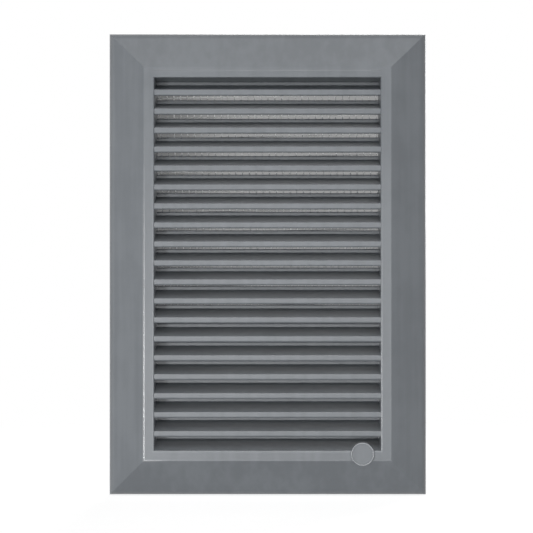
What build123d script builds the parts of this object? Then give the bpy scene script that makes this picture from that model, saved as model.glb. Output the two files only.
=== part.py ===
from build123d import *
import os
from math import atan2, cos, tan

# Louvred wall vent: a one-piece moulded grille with fixed blades, and an insect net behind them.
# Millimetres. The front faces -Y and +Z is up. The wall is the XZ plane, and the origin is in the
# middle of the vent on that plane.

# Overall size
vent_width = 165.0
vent_height = 240.0
rim_height = 15.0  # front of the rim, from the wall

# Section of the frame, the same on all four sides
border_width = 19.0  # sloping border, seen from the front
rim_width = 5.5  # flat rim between border and opening
shell_wall = 2.0
edge_height = 4.0  # where the slope would meet the outer edge if it were sharp
edge_radius = 6.0
ridge_radius = 0.9  # rim to slope
rim_edge_radius = 0.8  # rim to collar

# Collar, which enters the opening in the wall
collar_wall = 1.8
collar_depth = 8.0  # behind the wall plane

# Blades: an upright face, a web that rises to the rear and an upright lip at its end
blade_pitch = 9.73
blade_face = 3.0
blade_recess = 0.8  # faces lie this far behind the rim
blade_wall = 1.5
blade_edge_radius = 0.4
blade_foot_radius = 0.9  # lower edge of the face
web_depth = 15.6
web_rise = 4.2
lip_height = 2.1
lip_wall = 1.4
lip_radius = 0.6
top_gap_least = 5.0  # above the first blade's face

# Insect net
net_thickness = 0.5
net_pitch = 3.55
net_strand = 0.5
net_rows = 3
net_cover = 0.5  # how far the collar's rear end stands past the net
net_clearance = 0.2

# Round boss on the rim, at the lower right
boss_diameter = 12.0
boss_proud = 0.8
boss_thickness = 3.2
boss_ring_width = 0.8
boss_ring_height = 0.4
boss_edge_radius = 0.3
boss_from_side = 9.3  # centre to the side of the opening
boss_below_sill = 1.9  # centre to the bottom of the opening

# Sizes that follow
opening_width = vent_width - 2 * (border_width + rim_width)
opening_height = vent_height - 2 * (border_width + rim_width)
section_width = border_width + rim_width
slope = atan2(rim_height - edge_height, border_width)
net_land = collar_wall / 2
net_seat = collar_depth - net_cover - net_thickness
blade_count = int((opening_height - top_gap_least) // blade_pitch)
sill_level = -opening_height / 2
rim_front = -rim_height
blade_front = rim_front + blade_recess

os.makedirs("parts", exist_ok=True)


def frame_point(outward, forward):
    """Point of the bottom side's section, from its distance past the opening and before the wall."""
    return (-forward, sill_level - outward)


def blade_outline(top_edge, face):
    """Corners of one blade's section, with its upright face below the level of top_edge."""
    web_slope = atan2(web_rise, web_depth)
    web_drop = blade_wall / cos(web_slope)
    lip_front = blade_front + web_depth
    lip_back = lip_front + lip_wall
    lip_foot = top_edge + web_rise
    return [
        (blade_front, top_edge - face),
        (blade_front, top_edge),
        (lip_front, lip_foot),
        (lip_front, lip_foot + lip_height),
        (lip_back, lip_foot + lip_height),
        (lip_back, lip_foot + lip_wall * tan(web_slope) - web_drop),
        (blade_front + blade_wall, top_edge + blade_wall * tan(web_slope) - web_drop),
        (blade_front + blade_wall, top_edge - face),
    ]


# Frame section: a shell of even wall from the outer edge up the slope, over the rim and back down
# the collar, whose rear end is stepped to take the net
with BuildSketch(Plane.YZ) as frame_section:
    with BuildLine():
        inner_edge = edge_height + shell_wall * (tan(slope) - 1 / cos(slope))
        inner_ridge = rim_width - shell_wall * tan(slope / 2)
        FilletPolyline(
            frame_point(section_width, 0),
            frame_point(section_width, edge_height),
            frame_point(rim_width, rim_height),
            frame_point(0, rim_height),
            frame_point(0, -net_seat),
            frame_point(net_land, -net_seat),
            frame_point(net_land, -collar_depth),
            frame_point(collar_wall, -collar_depth),
            frame_point(collar_wall, rim_height - shell_wall),
            frame_point(inner_ridge, rim_height - shell_wall),
            frame_point(section_width - shell_wall, inner_edge),
            frame_point(section_width - shell_wall, 0),
            radius=(0, edge_radius, ridge_radius, rim_edge_radius, 0, 0, 0, 0, 0, 0, 0, 0),
            close=True,
        )
    make_face()

with BuildLine(Plane.XZ) as opening_outline:
    Polyline(
        (0, sill_level),
        (opening_width / 2, sill_level),
        (opening_width / 2, -sill_level),
        (-opening_width / 2, -sill_level),
        (-opening_width / 2, sill_level),
        close=True,
    )

with BuildPart() as grille:
    # Blades, and the sill's web behind the bottom rim, each ending inside the collar's walls
    with BuildSketch(Plane.YZ):
        for number in range(blade_count + 1):
            face = blade_face if number else collar_wall
            with BuildLine():
                FilletPolyline(
                    blade_outline(sill_level + number * blade_pitch, face),
                    radius=(blade_foot_radius, blade_edge_radius, blade_edge_radius, lip_radius, 0, 0, 0, 0),
                    close=True,
                )
            make_face()
    extrude(amount=opening_width / 2 + net_land, both=True)
    with Locations((0, (collar_depth - rim_height) / 2, 0)):
        Box(
            opening_width + 2 * net_land,
            collar_depth + rim_height,
            opening_height + 2 * net_land,
            mode=Mode.INTERSECT,
        )
    # Frame, with mitred corners
    sweep(sections=frame_section.sketch, path=opening_outline.line, transition=Transition.RIGHT)
    # Boss, let into the rim, with a raised ring round its bare face
    boss_centre = (opening_width / 2 - boss_from_side, sill_level - boss_below_sill)
    boss_plane = Plane.XZ.offset(rim_height + boss_proud)
    with BuildSketch(boss_plane):
        with Locations(boss_centre):
            Circle(boss_diameter / 2)
    extrude(amount=-boss_thickness)
    with BuildSketch(boss_plane):
        with Locations(boss_centre):
            Circle(boss_diameter / 2)
            Circle(boss_diameter / 2 - boss_ring_width, mode=Mode.SUBTRACT)
    extrude(amount=boss_ring_height)
    ring_edges = grille.faces().sort_by(Axis.Y)[0].edges()
    fillet(ring_edges, boss_edge_radius)
grille.part.label = "grille"
export_step(grille.part, "parts/grille.step")

# Net: one thin sheet of upright strands with a few cross strands, seated in the collar's rebate
with BuildPart() as insect_net:
    with BuildSketch(Plane.XZ.offset(-net_seat)):
        Rectangle(
            opening_width + 2 * (net_land - net_clearance),
            opening_height + 2 * (net_land - net_clearance),
        )
        row_pitch = (opening_height - net_strand) / net_rows
        columns = int(opening_width // net_pitch)
        with GridLocations(net_pitch, row_pitch, columns, net_rows):
            Rectangle(net_pitch - net_strand, row_pitch - net_strand, mode=Mode.SUBTRACT)
    extrude(amount=-net_thickness)
insect_net.part.label = "insect_net"
export_step(insect_net.part, "parts/insect_net.step")
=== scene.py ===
"""Louvred wall vent: a moulded grille of fixed blades and an insect net, lit in a plain studio."""
import logging
import math
from dataclasses import dataclass
from enum import Enum

import bpy
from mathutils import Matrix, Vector


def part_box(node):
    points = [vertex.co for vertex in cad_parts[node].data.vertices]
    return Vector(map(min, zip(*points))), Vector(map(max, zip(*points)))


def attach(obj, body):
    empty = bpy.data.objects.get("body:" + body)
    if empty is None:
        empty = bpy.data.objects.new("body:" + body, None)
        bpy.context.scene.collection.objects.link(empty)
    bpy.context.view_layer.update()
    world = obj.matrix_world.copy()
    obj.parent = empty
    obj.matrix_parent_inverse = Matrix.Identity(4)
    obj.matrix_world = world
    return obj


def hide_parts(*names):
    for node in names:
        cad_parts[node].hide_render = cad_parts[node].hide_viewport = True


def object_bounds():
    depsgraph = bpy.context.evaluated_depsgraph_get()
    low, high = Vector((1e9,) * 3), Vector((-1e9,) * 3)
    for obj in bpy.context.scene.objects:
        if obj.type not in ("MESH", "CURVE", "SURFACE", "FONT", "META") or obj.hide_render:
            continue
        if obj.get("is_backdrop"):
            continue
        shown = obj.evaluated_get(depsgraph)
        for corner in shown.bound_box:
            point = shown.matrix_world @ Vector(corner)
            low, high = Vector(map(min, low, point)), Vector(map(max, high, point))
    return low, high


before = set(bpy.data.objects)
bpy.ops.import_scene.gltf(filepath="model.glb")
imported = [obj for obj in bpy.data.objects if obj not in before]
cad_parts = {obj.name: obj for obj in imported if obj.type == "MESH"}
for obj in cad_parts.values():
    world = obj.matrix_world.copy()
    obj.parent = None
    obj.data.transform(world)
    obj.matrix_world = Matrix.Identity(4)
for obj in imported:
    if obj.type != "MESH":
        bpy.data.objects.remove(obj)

LOG = logging.getLogger("louvred_vent")
MM = 0.001
PICTURE_SIDE = 533
BODY = "root"
QUARTER_TURN = math.pi / 2

Colour = tuple[float, float, float]
Point = tuple[float, float, float]
Span = tuple[float, float]

WHITE: Colour = (1.0, 1.0, 1.0)


class Node(Enum):
    """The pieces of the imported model."""

    GRILLE = "grille"
    NET = "insect_net"


class Slot(Enum):
    """Material slot that the record names for the net; the script does not use it."""

    NET = "white_net"


class Run(Enum):
    """Which way a strand of the net runs: the direction along it and the one to its side."""

    UPRIGHT = ((0, 0, 1), (1, 0, 0))
    ACROSS = ((1, 0, 0), (0, 0, 1))


def opaque(colour: Colour) -> tuple[float, float, float, float]:
    """A colour with full alpha."""
    return (*colour, 1.0)


def deselect() -> None:
    """Leaves object mode with nothing selected."""
    if bpy.context.mode != "OBJECT":
        bpy.ops.object.mode_set(mode="OBJECT")
    bpy.ops.object.select_all(action="DESELECT")


def select(*pieces: bpy.types.Object) -> None:
    """Selects some pieces alone, with the last of them active.

    Args:
        *pieces: Objects to select.
    """
    deselect()
    for piece in pieces:
        piece.select_set(True)
    bpy.context.view_layer.objects.active = pieces[-1]


def adopt(name: str) -> bpy.types.Object:
    """Names the object that an operator has just added.

    Args:
        name: New name of the object and its mesh.

    Returns:
        The active object.
    """
    piece = bpy.context.active_object
    piece.name = name
    piece.data.name = name
    return piece


def settle(piece: bpy.types.Object) -> None:
    """Puts a piece's place, turn and scale into its mesh."""
    select(piece)
    bpy.ops.object.transform_apply(location=True, rotation=True, scale=True)


def fix_modifiers(piece: bpy.types.Object) -> None:
    """Applies every modifier of a piece, in order.

    Args:
        piece: Object whose modifiers are applied.
    """
    select(piece)
    for name in [modifier.name for modifier in piece.modifiers]:
        bpy.ops.object.modifier_apply(modifier=name)


def merge(extra: bpy.types.Object, piece: bpy.types.Object) -> None:
    """Joins one piece's mesh into another piece."""
    select(extra, piece)
    bpy.ops.object.join()


def upright_plane(name: str, centre: Vector, width: float, height: float) -> bpy.types.Object:
    """Adds a rectangle that faces the front.

    Args:
        name: Name of the rectangle.
        centre: Its middle.
        width: Its size along X.
        height: Its size along Z.

    Returns:
        The rectangle.
    """
    deselect()
    bpy.ops.mesh.primitive_plane_add(size=1, location=centre, rotation=(QUARTER_TURN, 0, 0))
    plane = adopt(name)
    plane.scale = (width, height, 1.0)
    settle(plane)
    return plane


class NodeSheet:
    """Places and links the nodes of one node tree."""

    SPACING = 200

    def __init__(self, tree: bpy.types.NodeTree) -> None:
        """Starts an empty sheet on a tree."""
        self.tree = tree
        self.tree.nodes.clear()

    def add(self, kind: str, **values: object) -> bpy.types.Node:
        """Adds a node and sets its properties.

        Args:
            kind: Node type.
            **values: Properties of the node, by name.

        Returns:
            The new node.
        """
        node = self.tree.nodes.new(kind)
        node.location = (self.SPACING * len(self.tree.nodes), 0)
        for name, value in values.items():
            setattr(node, name, value)
        return node

    def join(self, source: bpy.types.NodeSocket, target: bpy.types.NodeSocket) -> None:
        """Links one socket to another."""
        self.tree.links.new(source, target)

    def feed(self, socket: bpy.types.NodeSocket, value: object) -> None:
        """Links a socket to another one, or sets its value.

        Args:
            socket: Input to feed.
            value: Output socket to link, or a plain value.
        """
        if isinstance(value, bpy.types.NodeSocket):
            self.join(value, socket)
        else:
            socket.default_value = value

    def place(self) -> bpy.types.NodeSocket:
        """Object coordinates."""
        return self.add("ShaderNodeTexCoord").outputs["Object"]

    def split(self, place: bpy.types.NodeSocket) -> bpy.types.Node:
        """Parts coordinates into numbers.

        Args:
            place: Coordinates to part.

        Returns:
            Node with the outputs X, Y and Z.
        """
        node = self.add("ShaderNodeSeparateXYZ")
        self.join(place, node.inputs[0])
        return node

    def math(
        self, operation: str, first: object, second: object = 0.0, third: object = 0.0
    ) -> bpy.types.NodeSocket:
        """Adds a Math node.

        Args:
            operation: Name of the operation.
            first: First socket or number.
            second: Second socket or number.
            third: Third socket or number, for operations that have it.

        Returns:
            The result's socket.
        """
        node = self.add("ShaderNodeMath", operation=operation)
        for socket, value in zip(node.inputs, (first, second, third)):
            self.feed(socket, value)
        return node.outputs[0]

    def ramp(
        self, value: object, low: object, high: object, start: object = 0.0, end: object = 1.0
    ) -> bpy.types.NodeSocket:
        """Maps a value from one range to another with soft ends.

        Args:
            value: Socket or number to map.
            low: Start of the range that is read.
            high: End of the range that is read.
            start: Result at low.
            end: Result at high.

        Returns:
            The result's socket.
        """
        node = self.add("ShaderNodeMapRange", interpolation_type="SMOOTHSTEP")
        for socket, number in zip(node.inputs[:5], (value, low, high, start, end)):
            self.feed(socket, number)
        return node.outputs[0]

    def noise(
        self, place: bpy.types.NodeSocket, scale: object, detail: float, rough: float
    ) -> bpy.types.NodeSocket:
        """Adds a Noise texture.

        Args:
            place: Coordinates to read.
            scale: Features in a metre.
            detail: Octaves.
            rough: Share of the finer octaves.

        Returns:
            The noise value's socket.
        """
        node = self.add("ShaderNodeTexNoise")
        self.join(place, node.inputs["Vector"])
        self.feed(node.inputs["Scale"], scale)
        node.inputs["Detail"].default_value = detail
        node.inputs["Roughness"].default_value = rough
        return node.outputs["Fac"]

    def blend(self, factor: object, first: object, second: object) -> bpy.types.NodeSocket:
        """Blends two colours.

        Args:
            factor: Share of the second colour.
            first: Socket or colour at 0.
            second: Socket or colour at 1.

        Returns:
            The blend's socket.
        """
        node = self.add("ShaderNodeMix", data_type="RGBA")
        for name, value in (("Factor", factor), ("A", first), ("B", second)):
            self.feed(node.inputs[name], value)
        return node.outputs["Result"]

    def bump(self, height: bpy.types.NodeSocket, distance: float) -> bpy.types.NodeSocket:
        """Adds a Bump node.

        Args:
            height: Height to follow.
            distance: Height in metres that 1 stands for.

        Returns:
            The normal's socket.
        """
        node = self.add("ShaderNodeBump")
        node.inputs["Strength"].default_value = 1.0
        node.inputs["Distance"].default_value = distance
        self.join(height, node.inputs["Height"])
        return node.outputs["Normal"]

    def group(self, tree: bpy.types.NodeTree, **values: object) -> bpy.types.Node:
        """Places a shared group.

        Args:
            tree: Group to place.
            **values: Inputs by name, with _ for a space.

        Returns:
            The group node.
        """
        node = self.add("ShaderNodeGroup", node_tree=tree)
        for name, value in values.items():
            self.feed(node.inputs[name.replace("_", " ")], value)
        return node

    def surface(self, shader: bpy.types.Node, kind: str = "ShaderNodeOutputMaterial") -> None:
        """Leads a shader to the tree's output."""
        self.join(shader.outputs[0], self.add(kind).inputs["Surface"])


def new_material(name: str) -> tuple[bpy.types.Material, NodeSheet]:
    """Starts a material of nodes.

    Args:
        name: Name of the material.

    Returns:
        The material and its empty sheet.
    """
    material = bpy.data.materials.new(name)
    material.use_nodes = True
    return material, NodeSheet(material.node_tree)


@dataclass
class SharedEffects:
    """Shader node groups that give masks and heights to the finishes."""

    noise_mean: float = 0.5
    pit_scale: float = 0.55
    pit_depth: float = 0.5
    streak_scale: float = 6.0
    band_core: float = 0.35
    band_patches: float = 160.0
    band_breaks: Span = (0.35, 0.65)
    band_least: float = 0.75

    def __post_init__(self) -> None:
        """Builds each group once."""
        self.grain = self.build_grain()
        self.mottle = self.build_mottle()
        self.edge_highlight_band = self.build_edge_highlight_band()

    @staticmethod
    def start(
        name: str, inputs: dict[str, float], outputs: list[str]
    ) -> tuple[NodeSheet, bpy.types.Node, bpy.types.Node]:
        """Makes an empty group that reads a place.

        Args:
            name: Name of the group.
            inputs: Number inputs with their defaults.
            outputs: Number outputs.

        Returns:
            The group's sheet, its input node and its output node.
        """
        tree = bpy.data.node_groups.new(name, "ShaderNodeTree")
        sockets = tree.interface
        sockets.new_socket("Place", in_out="INPUT", socket_type="NodeSocketVector")
        for title, default in inputs.items():
            socket = sockets.new_socket(title, in_out="INPUT", socket_type="NodeSocketFloat")
            socket.default_value = default
        for title in outputs:
            sockets.new_socket(title, in_out="OUTPUT", socket_type="NodeSocketFloat")
        sheet = NodeSheet(tree)
        return sheet, sheet.add("NodeGroupInput"), sheet.add("NodeGroupOutput")

    def build_grain(self) -> bpy.types.NodeTree:
        """Fine grain of a spark-eroded mould, as a height and as a roughness offset.

        Returns:
            The group.
        """
        sheet, given, result = self.start("mould_grain", {"Scale": 2500.0}, ["Height", "Sheen"])
        place, scale = given.outputs["Place"], given.outputs["Scale"]
        fine = sheet.noise(place, scale, detail=3.0, rough=0.6)
        pits = sheet.add("ShaderNodeTexVoronoi", feature="SMOOTH_F1")
        sheet.join(place, pits.inputs["Vector"])
        sheet.join(sheet.math("MULTIPLY", scale, self.pit_scale), pits.inputs["Scale"])
        height = sheet.math("MULTIPLY_ADD", pits.outputs["Distance"], self.pit_depth, fine)
        sheet.join(height, result.inputs["Height"])
        sheet.join(sheet.math("SUBTRACT", fine, self.noise_mean), result.inputs["Sheen"])
        return sheet.tree

    def build_mottle(self) -> bpy.types.NodeTree:
        """Broad cloudy drift and long flow streaks of a moulded surface, both about zero.

        Returns:
            The group.
        """
        inputs = {"Scale": 40.0, "Stretch": 0.05}
        sheet, given, result = self.start("flow_mottle", inputs, ["Cloud", "Streak"])
        place, scale = given.outputs["Place"], given.outputs["Scale"]
        cloud = sheet.noise(place, scale, detail=4.0, rough=0.55)
        split = sheet.split(place)
        drawn = sheet.add("ShaderNodeCombineXYZ")
        sheet.join(split.outputs["X"], drawn.inputs["X"])
        sheet.join(split.outputs["Y"], drawn.inputs["Y"])
        long = sheet.math("MULTIPLY", split.outputs["Z"], given.outputs["Stretch"])
        sheet.join(long, drawn.inputs["Z"])
        finer = sheet.math("MULTIPLY", scale, self.streak_scale)
        streak = sheet.noise(drawn.outputs[0], finer, detail=2.0, rough=0.5)
        sheet.join(sheet.math("SUBTRACT", cloud, self.noise_mean), result.inputs["Cloud"])
        sheet.join(sheet.math("SUBTRACT", streak, self.noise_mean), result.inputs["Streak"])
        return sheet.tree

    def build_edge_highlight_band(self) -> bpy.types.NodeTree:
        """Mask of a band along a rectangle's outline, seen from the front, that carries a glossier
        coat and a painted highlight.

        Returns:
            The group.
        """
        inputs = {"Half Width": 0.05, "Half Height": 0.05, "Band": 0.001}
        sheet, given, result = self.start("edge_highlight_band", inputs, ["Mask"])
        place, width = given.outputs["Place"], given.outputs["Band"]
        split = sheet.split(place)
        past = [
            sheet.math("SUBTRACT", sheet.math("ABSOLUTE", split.outputs[axis]), given.outputs[half])
            for axis, half in (("X", "Half Width"), ("Z", "Half Height"))
        ]
        away = sheet.math("ABSOLUTE", sheet.math("MAXIMUM", *past))
        band = sheet.ramp(away, width, sheet.math("MULTIPLY", width, self.band_core))
        patches = sheet.noise(place, self.band_patches, detail=4.0, rough=0.6)
        broken = sheet.ramp(patches, *self.band_breaks, self.band_least, 1.0)
        # This band sets where the edges get a glossier coat and a lighter painted highlight.
        sheet.join(sheet.math("MULTIPLY", band, broken), result.inputs["Mask"])
        return sheet.tree


@dataclass(frozen=True)
class SatinPlastic:
    """Graphite-grey moulded plastic with a satin grain, glossier along its ridges and with a
    painted highlight there in a lighter colour.
    """

    name: str = "satin_graphite"
    colour: Colour = (0.191, 0.2075, 0.2255)
    shade: Colour = (0.164, 0.179, 0.196)
    # Lighter colour painted along the masked edges: a painted highlight.
    highlight_colour: Colour = (0.24, 0.256, 0.274)
    index: float = 1.5
    roughness: float = 0.33
    roughness_swing: float = 0.18
    grain_scale: float = 2600.0
    grain_height: float = 0.00002
    grain_sheen: float = 0.6
    mottle_scale: float = 38.0
    drift_reach: float = 0.2
    streak_share: float = 0.7
    highlight_share: float = 0.5
    ridge: Span = (63.5 * MM, 101.0 * MM)
    mouth: Span = (58.3 * MM, 95.8 * MM)
    highlight_band: float = 0.8 * MM
    # The painted highlight and the coat on the ridges fade out upwards and are strongest at the
    # lower left, where the key lamp's highlight lies.
    highlight_fade: Span = (85.0 * MM, -30.0 * MM)
    highlight_side: Span = (-50.0 * MM, -62.0 * MM)
    ridge_share: float = 0.1
    mouth_share: float = 0.38
    ring_share: float = 0.5
    blade_share: float = 0.6
    rubbed_roughness: float = 0.17
    polish: float = 0.75
    polish_roughness: float = 0.12
    polish_index: float = 2.0
    blade_pitch: float = 9.73 * MM
    blade_band: float = 0.45 * MM
    blade_drop: float = 0.3 * MM
    blade_front: float = -13.4 * MM
    ring_centre: Span = (48.7 * MM, -97.4 * MM)
    ring_radius: float = 5.6 * MM
    ring_front: float = -15.9 * MM

    def blade_edges(self, sheet: NodeSheet, split: bpy.types.Node) -> bpy.types.NodeSocket:
        """Mask of the blades' upper front edges, one in each pitch above the sill.

        Args:
            sheet: Sheet of the material.
            split: Node that gives the object coordinates one by one.

        Returns:
            The mask's socket.
        """
        half_width, half_height = self.mouth
        above_sill = sheet.math("ADD", split.outputs["Z"], half_height - self.blade_drop)
        away = sheet.math("PINGPONG", above_sill, self.blade_pitch / 2)
        band = sheet.ramp(away, self.blade_band, 0.0)
        front = sheet.math("LESS_THAN", split.outputs["Y"], self.blade_front)
        inside = sheet.math("LESS_THAN", sheet.math("ABSOLUTE", split.outputs["X"]), half_width)
        return sheet.math("MULTIPLY", band, sheet.math("MULTIPLY", front, inside))

    def boss_reach(self, sheet: NodeSheet, split: bpy.types.Node) -> bpy.types.NodeSocket:
        """Distance from the axis of the boss.

        Args:
            sheet: Sheet of the material.
            split: Node that gives the object coordinates one by one.

        Returns:
            The distance's socket.
        """
        aside = sheet.math("SUBTRACT", split.outputs["X"], self.ring_centre[0])
        above = sheet.math("SUBTRACT", split.outputs["Z"], self.ring_centre[1])
        square = sheet.math("MULTIPLY", above, above)
        return sheet.math("SQRT", sheet.math("MULTIPLY_ADD", aside, aside, square))

    def polish_and_highlight_edges(
        self, sheet: NodeSheet, place: bpy.types.NodeSocket, effects: SharedEffects
    ) -> bpy.types.NodeSocket:
        """Mask of the edges with a glossier coat and a painted highlight in a lighter colour, most
        of all the ridge at the lower left.

        Args:
            sheet: Sheet of the material.
            place: Object coordinates.
            effects: Shared groups.

        Returns:
            The mask's socket.
        """
        split = sheet.split(place)
        lower = sheet.ramp(split.outputs["Z"], *self.highlight_fade)
        lit_side = sheet.ramp(split.outputs["X"], *self.highlight_side, self.ridge_share, 1.0)
        lines = sheet.math("MULTIPLY", self.blade_edges(sheet, split), self.blade_share)
        for outline, share in ((self.ridge, lit_side), (self.mouth, self.mouth_share)):
            line = sheet.group(
                effects.edge_highlight_band,
                Place=place,
                Half_Width=outline[0],
                Half_Height=outline[1],
                Band=self.highlight_band,
            )
            faded = sheet.math("MULTIPLY", line.outputs["Mask"], lower)
            lines = sheet.math("MAXIMUM", lines, sheet.math("MULTIPLY", faded, share))
        reach = self.boss_reach(sheet, split)
        beyond = sheet.math("GREATER_THAN", reach, self.ring_radius + self.highlight_band)
        away = sheet.math("ABSOLUTE", sheet.math("SUBTRACT", reach, self.ring_radius))
        proud = sheet.math("LESS_THAN", split.outputs["Y"], self.ring_front)
        band = sheet.ramp(away, self.highlight_band, 0.0, 0.0, self.ring_share)
        ring = sheet.math("MULTIPLY", band, proud)
        return sheet.math("MAXIMUM", sheet.math("MULTIPLY", lines, beyond), ring)

    def build(self, effects: SharedEffects) -> bpy.types.Material:
        """Builds the material.

        Args:
            effects: Shared groups.

        Returns:
            The material.
        """
        material, sheet = new_material(self.name)
        place = sheet.place()
        grain = sheet.group(effects.grain, Place=place, Scale=self.grain_scale)
        mottle = sheet.group(effects.mottle, Place=place, Scale=self.mottle_scale)
        cloud = mottle.outputs["Cloud"]
        drift = sheet.math("MULTIPLY_ADD", mottle.outputs["Streak"], self.streak_share, cloud)
        tone = sheet.ramp(drift, -self.drift_reach, self.drift_reach)
        body = sheet.blend(tone, opaque(self.shade), opaque(self.colour))
        edges = self.polish_and_highlight_edges(sheet, place, effects)
        highlight = sheet.math("MULTIPLY", edges, self.highlight_share)
        wander = sheet.math("MULTIPLY_ADD", grain.outputs["Sheen"], self.grain_sheen, cloud)
        satin = sheet.math("MULTIPLY_ADD", wander, self.roughness_swing, self.roughness)
        rough = sheet.math("MULTIPLY_ADD", edges, self.rubbed_roughness - self.roughness, satin)
        unworn = sheet.math("SUBTRACT", 1.0, edges)
        height = sheet.math("MULTIPLY", grain.outputs["Height"], unworn)
        shader = sheet.add("ShaderNodeBsdfPrincipled")
        # Painted highlight: the base colour turns lighter along the masked edges.
        sheet.join(sheet.blend(highlight, body, opaque(self.highlight_colour)), shader.inputs["Base Color"])
        sheet.join(rough, shader.inputs["Roughness"])
        sheet.join(sheet.bump(height, self.grain_height), shader.inputs["Normal"])
        sheet.join(sheet.math("MULTIPLY", edges, self.polish), shader.inputs["Coat Weight"])
        shader.inputs["IOR"].default_value = self.index
        shader.inputs["Coat Roughness"].default_value = self.polish_roughness
        shader.inputs["Coat IOR"].default_value = self.polish_index
        sheet.surface(shader)
        return material


@dataclass(frozen=True)
class NetPolymer:
    """Off-white extruded polymer of the insect net, a little dusty."""

    name: str = "white_polymer"
    colour: Colour = (0.92, 0.92, 0.91)
    dust: Colour = (0.76, 0.755, 0.74)
    dust_reach: Span = (0.02, 0.3)
    roughness: float = 0.45
    roughness_swing: float = 0.2
    grain_scale: float = 4200.0
    grain_height: float = 0.00001
    mottle_scale: float = 120.0
    glow_through: float = 0.15
    glow_depth: float = 0.15 * MM

    def build(self, effects: SharedEffects) -> bpy.types.Material:
        """Builds the material.

        Args:
            effects: Shared groups.

        Returns:
            The material.
        """
        material, sheet = new_material(self.name)
        place = sheet.place()
        grain = sheet.group(effects.grain, Place=place, Scale=self.grain_scale)
        mottle = sheet.group(effects.mottle, Place=place, Scale=self.mottle_scale)
        cloud = mottle.outputs["Cloud"]
        dusty = sheet.ramp(cloud, *self.dust_reach)
        tint = sheet.blend(dusty, opaque(self.colour), opaque(self.dust))
        rough = sheet.math("MULTIPLY_ADD", cloud, self.roughness_swing, self.roughness)
        normal = sheet.bump(grain.outputs["Height"], self.grain_height)
        shader = sheet.add("ShaderNodeBsdfPrincipled")
        sheet.join(tint, shader.inputs["Base Color"])
        sheet.join(rough, shader.inputs["Roughness"])
        sheet.join(normal, shader.inputs["Normal"])
        shader.inputs["Subsurface Weight"].default_value = self.glow_through
        shader.inputs["Subsurface Radius"].default_value = WHITE
        shader.inputs["Subsurface Scale"].default_value = self.glow_depth
        sheet.surface(shader)
        return material


@dataclass
class Grille:
    """The moulded grille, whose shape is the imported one."""

    finish: SatinPlastic = SatinPlastic()

    def dress(self, effects: SharedEffects) -> bpy.types.Object:
        """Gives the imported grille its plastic.

        Args:
            effects: Shared groups.

        Returns:
            The grille.
        """
        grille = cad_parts[Node.GRILLE.value]
        material = self.finish.build(effects)
        for slot in grille.material_slots:
            slot.material = material
        return grille


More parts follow.
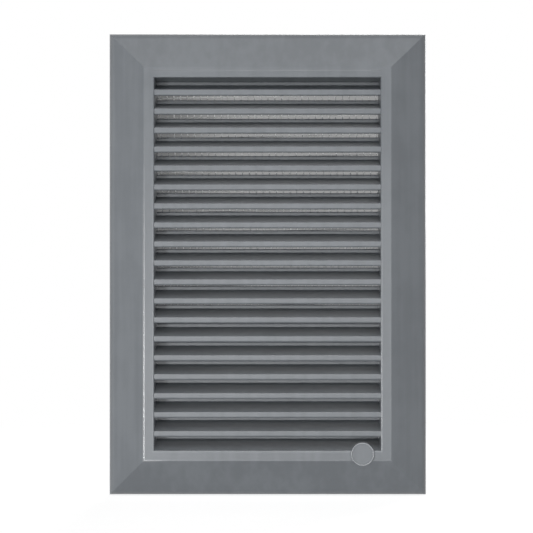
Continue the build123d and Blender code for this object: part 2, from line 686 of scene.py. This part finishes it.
@dataclass
class InsectNet:
    """Extruded net of crossing strands, welded by a flat hem into the collar's rebate."""

    pitch: float = 3.55 * MM
    strand_width: float = 0.5 * MM
    knot_width: float = 0.72 * MM
    knot_length: float = 0.55 * MM
    strand_thickness: float = 0.3 * MM
    sides: int = 6
    skew: float = math.radians(1.1)
    hem_width: float = 0.7 * MM
    hem_round: float = 0.12 * MM
    hem_segments: int = 2
    edge_gap: float = 0.01 * MM
    smooth_angle: float = math.radians(50)
    finish: NetPolymer = NetPolymer()

    def unit(self, name: str) -> bpy.types.Object:
        """Models one pitch of an upright strand, thickened to half a knot at both ends.

        Args:
            name: Name of the piece.

        Returns:
            The open length of strand, about the origin.
        """
        deselect()
        bpy.ops.mesh.primitive_cylinder_add(
            vertices=self.sides, radius=0.5, depth=self.pitch, end_fill_type="NOTHING",
        )
        unit = adopt(name)
        unit.scale = (self.strand_width, self.strand_thickness, 1.0)
        settle(unit)
        knot_start = (self.pitch - self.knot_length) / 2
        bpy.ops.object.mode_set(mode="EDIT")
        for side in (-1, 1):
            bpy.ops.mesh.select_all(action="SELECT")
            bpy.ops.mesh.bisect(plane_co=(0, 0, side * knot_start), plane_no=(0, 0, 1))
        bpy.ops.mesh.select_all(action="DESELECT")
        bpy.ops.object.mode_set(mode="OBJECT")
        for vertex in unit.data.vertices:
            vertex.select = abs(vertex.co.z) > self.pitch / 2 - self.edge_gap
        bpy.ops.object.mode_set(mode="EDIT")
        bpy.ops.transform.resize(value=(self.knot_width / self.strand_width, 1, 1))
        bpy.ops.object.mode_set(mode="OBJECT")
        return unit

    def strands(self, run: Run, length: float, count: int, depth: float) -> bpy.types.Object:
        """Models one layer of strands by repeating a single knotted length.

        Args:
            run: Which way the strands run.
            length: Length that each strand has to cover.
            count: Number of strands side by side.
            depth: Place of the layer's middle along Y.

        Returns:
            The layer, over the whole opening and beyond.
        """
        units = math.ceil(length / self.pitch)
        layer = self.unit(f"net_{run.name.lower()}")
        if run is Run.ACROSS:
            layer.rotation_euler = (0, QUARTER_TURN, 0)
            settle(layer)
        along, aside = (Vector(direction) for direction in run.value)
        for direction, number in ((along, units), (aside, count)):
            array = layer.modifiers.new("repeat", "ARRAY")
            array.use_relative_offset = False
            array.use_constant_offset = True
            array.constant_offset_displace = direction * self.pitch
            array.count = number
            array.use_merge_vertices = direction is along
            array.merge_threshold = self.edge_gap
        fix_modifiers(layer)
        start = -along * (units - 1) * self.pitch / 2 - aside * (count - 1) * self.pitch / 2
        layer.location = start + Vector((0, depth, 0))
        settle(layer)
        return layer

    def trim(self, net: bpy.types.Object, half_width: float, half_height: float) -> None:
        """Cuts the strands off inside the hem and closes their ends.

        Args:
            net: Strands to cut.
            half_width: Half the width that is kept.
            half_height: Half the height that is kept.
        """
        select(net)
        bpy.ops.object.mode_set(mode="EDIT")
        for axis, reach in (((1, 0, 0), half_width), ((0, 0, 1), half_height)):
            for normal in (Vector(axis), -Vector(axis)):
                bpy.ops.mesh.select_all(action="SELECT")
                bpy.ops.mesh.bisect(
                    plane_co=normal * reach, plane_no=normal, use_fill=True, clear_outer=True,
                )
        bpy.ops.mesh.select_all(action="DESELECT")
        bpy.ops.object.mode_set(mode="OBJECT")

    def hem(self, low: Vector, high: Vector) -> bpy.types.Object:
        """Models the flat hem that lies on the collar's ledge.

        Args:
            low: Lowest corner of the net.
            high: Highest corner of the net.

        Returns:
            The hem.
        """
        hem = upright_plane("net_hem", (low + high) / 2, high.x - low.x, high.z - low.z)
        bpy.ops.object.mode_set(mode="EDIT")
        bpy.ops.mesh.select_mode(type="FACE")
        bpy.ops.mesh.select_all(action="SELECT")
        bpy.ops.mesh.inset(thickness=self.hem_width)
        bpy.ops.mesh.delete(type="FACE")
        bpy.ops.object.mode_set(mode="OBJECT")
        shell = hem.modifiers.new("thickness", "SOLIDIFY")
        shell.thickness = high.y - low.y
        shell.offset = 0.0
        bevel = hem.modifiers.new("soft_edge", "BEVEL")
        bevel.width = self.hem_round
        bevel.segments = self.hem_segments
        bevel.limit_method = "ANGLE"
        fix_modifiers(hem)
        return hem

    def build(self, effects: SharedEffects) -> bpy.types.Object:
        """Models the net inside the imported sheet's box and dresses it.

        Args:
            effects: Shared groups.

        Returns:
            The net.
        """
        low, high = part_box(Node.NET.value)
        width, _, height = high - low
        spare = 2 * math.sin(self.skew) * height + 2 * self.pitch
        front = low.y + self.strand_thickness / 2 + self.edge_gap
        back = high.y - self.strand_thickness / 2 - self.edge_gap
        columns = math.ceil((width + spare) / self.pitch)
        rows = math.ceil((height + spare) / self.pitch)
        upright = self.strands(Run.UPRIGHT, height + spare, columns, front)
        across = self.strands(Run.ACROSS, width + spare, rows, back)
        merge(across, upright)
        net = adopt("insect_net_strands")
        bpy.ops.object.mode_set(mode="EDIT")
        bpy.ops.mesh.select_all(action="SELECT")
        bpy.ops.transform.rotate(value=self.skew, orient_axis="Y", center_override=(0, 0, 0))
        bpy.ops.object.mode_set(mode="OBJECT")
        inside = self.hem_width / 2
        self.trim(net, width / 2 - inside, height / 2 - inside)
        merge(self.hem(low, high), net)
        bpy.ops.object.mode_set(mode="EDIT")
        bpy.ops.mesh.select_all(action="SELECT")
        bpy.ops.mesh.normals_make_consistent(inside=False)
        bpy.ops.object.mode_set(mode="OBJECT")
        bpy.ops.object.shade_smooth_by_angle(angle=self.smooth_angle)
        net.data.materials.clear()
        net.data.materials.append(self.finish.build(effects))
        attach(net, BODY)
        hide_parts(Node.NET.value)
        return net


@dataclass
class Softbox:
    """One soft lamp of the studio, aimed at the middle of the vent."""

    name: str
    place: Point
    width: float
    height: float
    level: float
    target: Point = (0.0, 0.0, 0.0)

    def build(self) -> bpy.types.Object:
        """Adds the lamp; its level is the brightness of a white sheet facing it at the target.

        Returns:
            The lamp.
        """
        aim = Vector(self.target) - Vector(self.place)
        data = bpy.data.lights.new(self.name, "AREA")
        data.shape = "RECTANGLE"
        data.size = self.width
        data.size_y = self.height
        data.color = WHITE
        data.energy = self.level * math.pi**2 * aim.length_squared
        lamp = bpy.data.objects.new(self.name, data)
        lamp.location = self.place
        lamp.rotation_euler = aim.to_track_quat("-Z", "Y").to_euler()
        lamp.visible_camera = False
        bpy.context.scene.collection.objects.link(lamp)
        return lamp


@dataclass
class Studio:
    """Pale floor, white surroundings, a glowing card of painted shade behind the net and soft
    lamps.
    """

    floor_side: float = 6.0
    floor_colour: Colour = (0.5, 0.5, 0.5)
    floor_lift: float = 0.8
    shadow_reach: Span = (0.16, 0.42)
    ambient: float = 0.04
    # Glowing greys of the card behind the net are painted shade; the darker one at the left is a
    # painted shadow of the wall.
    card_shade_colour: Colour = (0.312, 0.314, 0.315)
    card_shadow_colour: Colour = (0.15, 0.152, 0.154)
    card_shadow_fade: Span = (-60.0 * MM, -15.0 * MM)
    card_gap: float = 0.4 * MM
    lamps: tuple[Softbox, ...] = (
        Softbox("key", (-0.37, -0.92, -0.25), width=0.1, height=0.4, level=0.33),
        Softbox("front", (0.0, -1.0, -0.05), width=0.45, height=0.45, level=0.245),
        Softbox("far_left", (-1.0, -0.12, 0.0), width=0.4, height=0.6, level=0.08),
        Softbox("overhead", (0.0, -0.72, 0.92), width=1.5, height=1.0, level=0.48),
        Softbox("behind", (0.35, 1.1, 0.45), width=0.9, height=0.9, level=0.6),
    )

    @staticmethod
    def seen(sheet: NodeSheet) -> bpy.types.NodeSocket:
        """Tells whether a ray comes from the camera, a mirror-like surface or glass.

        Args:
            sheet: Sheet of the material or the world.

        Returns:
            The answer's socket, 1 or 0.
        """
        rays = sheet.add("ShaderNodeLightPath").outputs
        mirrored = sheet.math("MAXIMUM", rays["Is Glossy Ray"], rays["Is Transmission Ray"])
        return sheet.math("MAXIMUM", rays["Is Camera Ray"], mirrored)

    def build_world(self) -> bpy.types.World:
        """White surroundings to the eye, with a low even light on the object.

        Returns:
            The world.
        """
        world = bpy.data.worlds.new("studio_white")
        world.use_nodes = True
        sheet = NodeSheet(world.node_tree)
        strength = sheet.ramp(self.seen(sheet), 0.0, 1.0, self.ambient, 1.0)
        light = sheet.add("ShaderNodeBackground")
        light.inputs["Color"].default_value = opaque(WHITE)
        sheet.join(strength, light.inputs["Strength"])
        sheet.surface(light, "ShaderNodeOutputWorld")
        bpy.context.scene.world = world
        return world

    def floor_material(self) -> bpy.types.Material:
        """Pale floor that keeps shadows near the object and turns white further out.

        Returns:
            The material.
        """
        material, sheet = new_material("pale_floor")
        reach = sheet.add("ShaderNodeVectorMath", operation="LENGTH")
        sheet.join(sheet.place(), reach.inputs[0])
        far = sheet.ramp(reach.outputs["Value"], *self.shadow_reach)
        seen = self.seen(sheet)
        matt = sheet.add("ShaderNodeBsdfDiffuse")
        matt.inputs["Color"].default_value = opaque(self.floor_colour)
        lift = sheet.add("ShaderNodeEmission")
        sheet.join(sheet.math("MULTIPLY", seen, self.floor_lift), lift.inputs["Strength"])
        near = sheet.add("ShaderNodeAddShader")
        sheet.join(matt.outputs[0], near.inputs[0])
        sheet.join(lift.outputs[0], near.inputs[1])
        white = sheet.add("ShaderNodeEmission")
        white.inputs["Strength"].default_value = 1.0
        blend = sheet.add("ShaderNodeMixShader")
        sheet.join(sheet.math("MULTIPLY", far, seen), blend.inputs["Fac"])
        sheet.join(near.outputs[0], blend.inputs[1])
        sheet.join(white.outputs[0], blend.inputs[2])
        sheet.surface(blend)
        return material

    def build_floor(self, level: float) -> bpy.types.Object:
        """Lays the floor under the vent.

        Args:
            level: Height of the floor.

        Returns:
            The floor.
        """
        deselect()
        bpy.ops.mesh.primitive_plane_add(size=self.floor_side, location=(0, 0, level))
        floor = adopt("floor")
        floor.data.materials.append(self.floor_material())
        floor.visible_shadow = False
        floor.visible_glossy = False
        floor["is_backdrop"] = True
        return floor

    def card_material(self) -> bpy.types.Material:
        """Glowing grey that paints the shade of the space behind the net, with a painted shadow
        darker at the left, seen from the front alone.

        Returns:
            The material.
        """
        material, sheet = new_material("painted_shade_card")
        split = sheet.split(sheet.place())
        lit = sheet.ramp(split.outputs["X"], *self.card_shadow_fade)
        tone = sheet.blend(lit, opaque(self.card_shadow_colour), opaque(self.card_shade_colour))
        # The card glows as painted shade of the space behind the net.
        glow = sheet.add("ShaderNodeEmission")
        sheet.join(tone, glow.inputs["Color"])
        clear = sheet.add("ShaderNodeBsdfTransparent")
        side = sheet.add("ShaderNodeNewGeometry")
        pick = sheet.add("ShaderNodeMixShader")
        sheet.join(side.outputs["Backfacing"], pick.inputs["Fac"])
        sheet.join(glow.outputs[0], pick.inputs[1])
        sheet.join(clear.outputs[0], pick.inputs[2])
        sheet.surface(pick)
        return material

    def build_card(self) -> bpy.types.Object:
        """Sets the card into the collar's rebate, just behind the net.

        Returns:
            The card.
        """
        low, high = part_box(Node.NET.value)
        centre = Vector((0, high.y + self.card_gap, 0))
        card = upright_plane("card_behind_net", centre, high.x - low.x, high.z - low.z)
        card.data.materials.append(self.card_material())
        card.visible_shadow = False
        card.visible_transmission = False
        card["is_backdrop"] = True
        return card

    def build(self) -> None:
        """Builds the surroundings and the lamps."""
        low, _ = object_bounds()
        self.build_world()
        self.build_floor(low[2])
        self.build_card()
        for lamp in self.lamps:
            lamp.build()
            LOG.info("lamp %s at level %.2f", lamp.name, lamp.level)


@dataclass
class ViewCamera:
    """Camera square to the vent, a little right of and below its middle."""

    aside: float = 9.0 * MM
    below: float = 10.8 * MM
    distance: float = 755 * MM
    nearest: float = 10 * MM
    lens: float = 97.6
    sensor: float = 36.0
    axis_right: float = 18.5
    axis_down: float = 18.5

    def build(self) -> bpy.types.Object:
        """Adds the camera and makes it the scene's.

        Returns:
            The camera.
        """
        data = bpy.data.cameras.new("view_camera")
        data.lens = self.lens
        data.sensor_width = self.sensor
        data.sensor_fit = "HORIZONTAL"
        data.shift_x = -self.axis_right / PICTURE_SIDE
        data.shift_y = self.axis_down / PICTURE_SIDE
        data.clip_start = self.nearest
        camera = bpy.data.objects.new("view_camera", data)
        camera.location = (self.aside, -self.distance, -self.below)
        camera.rotation_euler = (QUARTER_TURN, 0, 0)
        bpy.context.scene.collection.objects.link(camera)
        bpy.context.scene.camera = camera
        return camera


def main() -> None:
    """Builds the vent's looks, the studio and the camera, in order."""
    logging.basicConfig(level=logging.INFO, format="%(message)s")
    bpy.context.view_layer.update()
    bpy.context.scene.view_settings.view_transform = "Standard"
    effects = SharedEffects()
    grille = Grille().dress(effects)
    LOG.info("dressed %s", grille.name)
    net = InsectNet().build(effects)
    LOG.info("built %s with %d faces", net.name, len(net.data.polygons))
    Studio().build()
    camera = ViewCamera().build()
    LOG.info("placed %s", camera.name)


if __name__ == "__main__":
    main()
